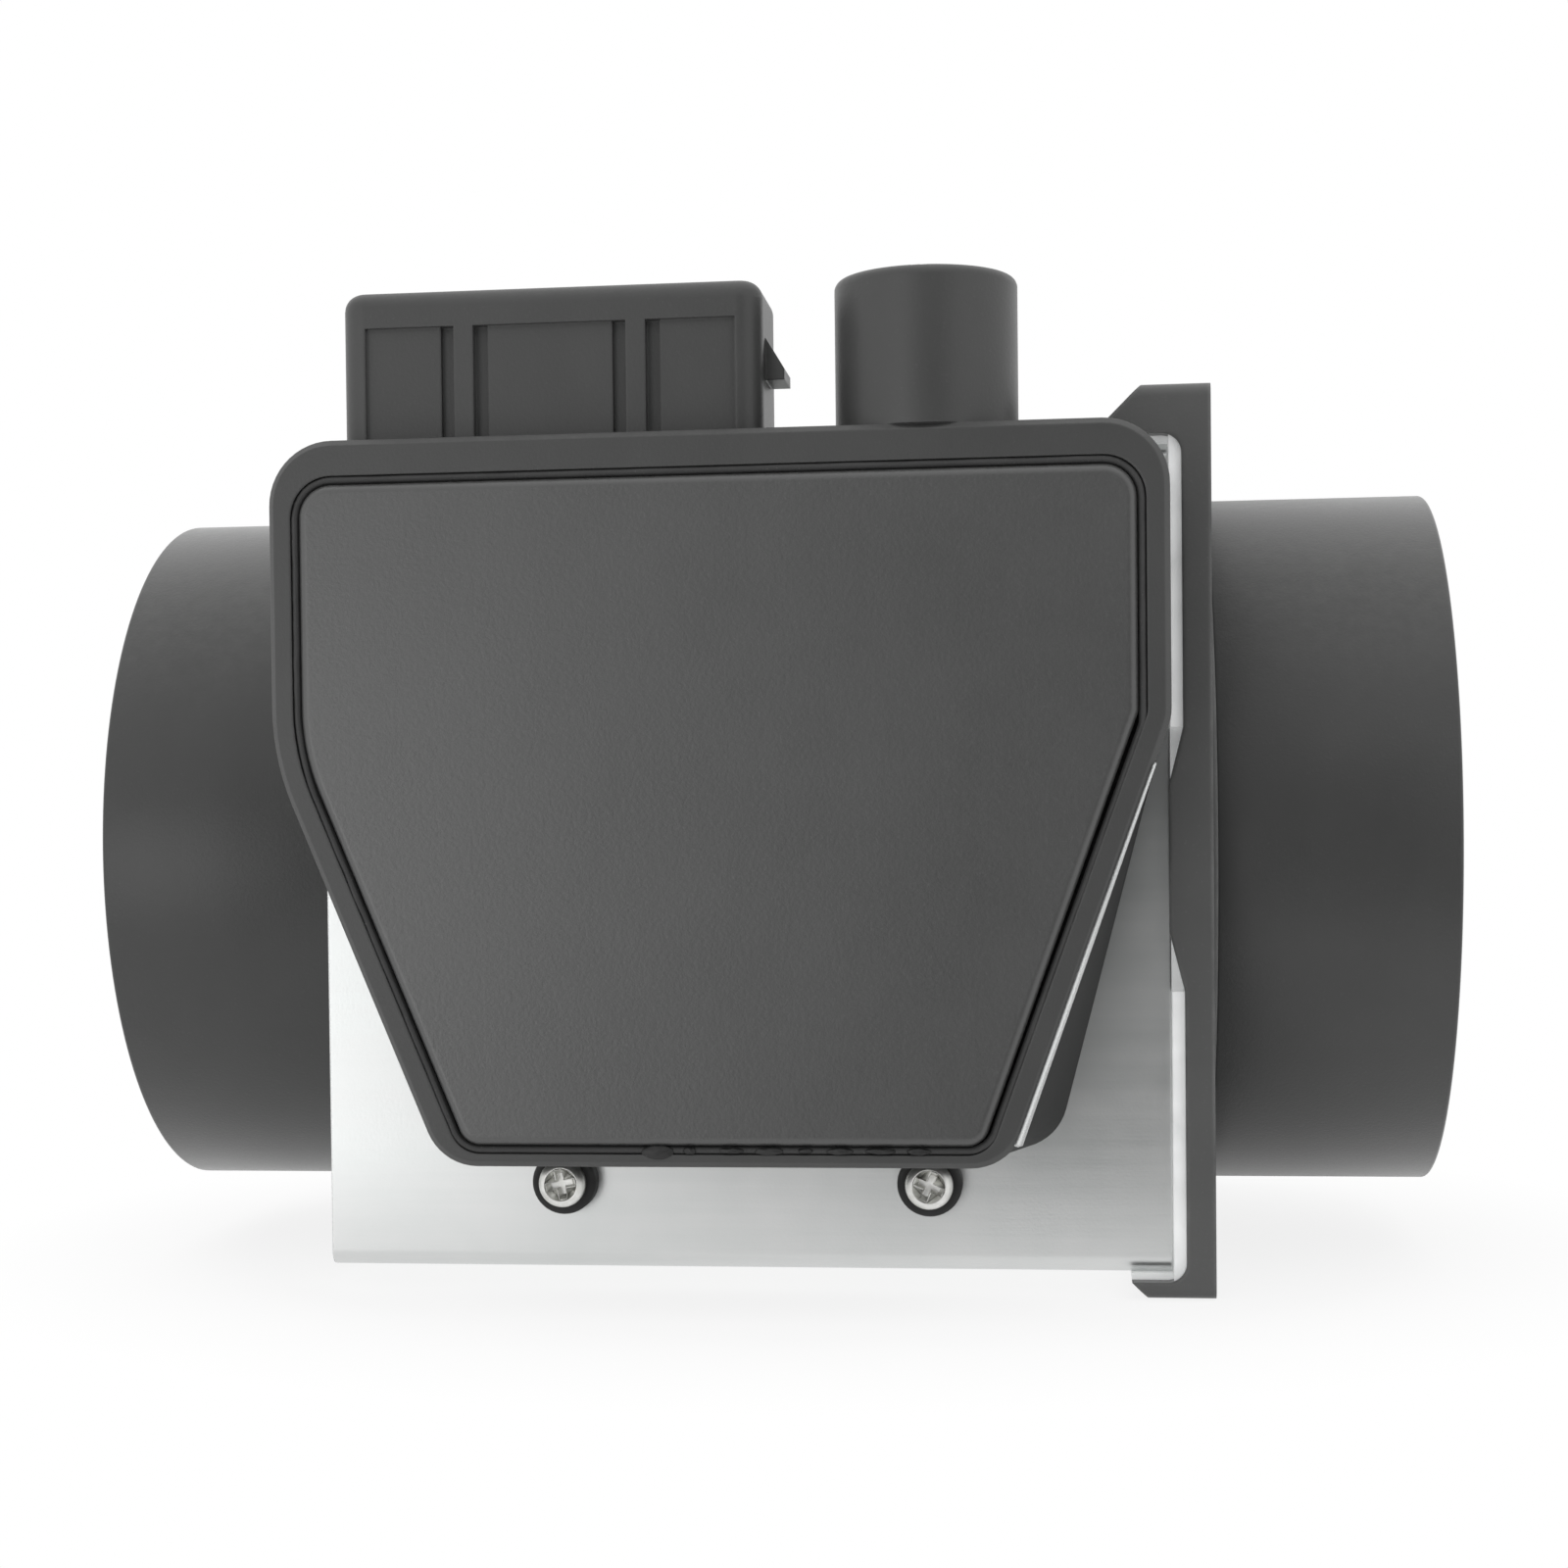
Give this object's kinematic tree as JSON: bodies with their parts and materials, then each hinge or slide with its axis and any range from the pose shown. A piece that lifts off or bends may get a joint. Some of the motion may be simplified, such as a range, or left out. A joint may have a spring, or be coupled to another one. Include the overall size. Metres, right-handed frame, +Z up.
{
  "type": "mass airflow sensor",
  "caption": "Hot-wire mass airflow sensor: cast square duct body with a hose neck at each end, a filter flange, and a sealed electronics box with a plug socket on its side.",
  "frame": {"origin": "centre of the inlet mouth, on the axis of the duct", "axes": "+X out of the inlet mouth, so the air flows along -X; +Z up, the way the plug socket opens; -Y out of the lid"},
  "size_m": [0.147, 0.1106, 0.1041],
  "materials": {
    "cast_aluminium": "machined cast aluminium, satin",
    "moulded_black": "black glass-filled plastic, fine grain",
    "tray_black": "black glass-filled plastic, fine grain",
    "lid_black": "dark grey satin plastic",
    "pale_silicone": "pale moulded silicone",
    "screw_steel": "zinc-plated steel",
    "black_rubber": "black rubber",
    "honeycomb_aluminium": "bare aluminium",
    "spring_wire": "bright spring wire",
    "guard_steel": "bright steel wire",
    "tube_plastic": "black moulded plastic",
    "post_steel": "plain steel",
    "platinum_wire": "bright fine wire",
    "sensor_ceramic": "white ceramic",
    "resistor_ceramic": "glazed ceramic rod",
    "sealing_compound": "cured sealing compound",
    "gasket_rubber": "soft rubber",
    "contact_brass": "tinned brass",
    "plug_plastic": "black plastic",
    "plate_aluminium": "rolled aluminium",
    "board_ceramic": "unglazed ceramic",
    "chip_plastic": "moulded black",
    "capacitor_can": "plain can",
    "trimmer_plastic": "blue moulded block",
    "lead_steel": "tinned strip"
  },
  "bodies": {
    "root": {"metering_body": "cast_aluminium", "inlet_flange": "moulded_black", "inlet_spigot": "moulded_black", "outlet_spigot": "moulded_black", "flange_seal": "pale_silicone", "flange_screws": "screw_steel", "inlet_seal_ring": "black_rubber", "outlet_seal_ring": "black_rubber", "flow_straightener": "honeycomb_aluminium", "inlet_snap_ring": "spring_wire", "guard_ring": "guard_steel", "guard_wires": "guard_steel", "outlet_snap_ring": "spring_wire", "measuring_tube": "tube_plastic", "wire_posts": "post_steel", "hot_wire": "platinum_wire", "air_temperature_sensor": "sensor_ceramic", "reference_resistor": "resistor_ceramic", "neck_seal": "black_rubber", "electronics_tray": "tray_black", "lid": "lid_black", "lid_seal": "sealing_compound", "lower_tray_screws": "screw_steel", "upper_tray_screws": "screw_steel", "connector_seal": "gasket_rubber", "connector_pins": "contact_brass", "well_plug": "plug_plastic", "heat_sink_plate": "plate_aluminium", "circuit_board": "board_ceramic", "power_transistor": "chip_plastic", "control_chip": "chip_plastic", "circuit_capacitors": "capacitor_can", "trimmer": "trimmer_plastic", "sensor_leads": "lead_steel"}
  },
  "joints": []
}
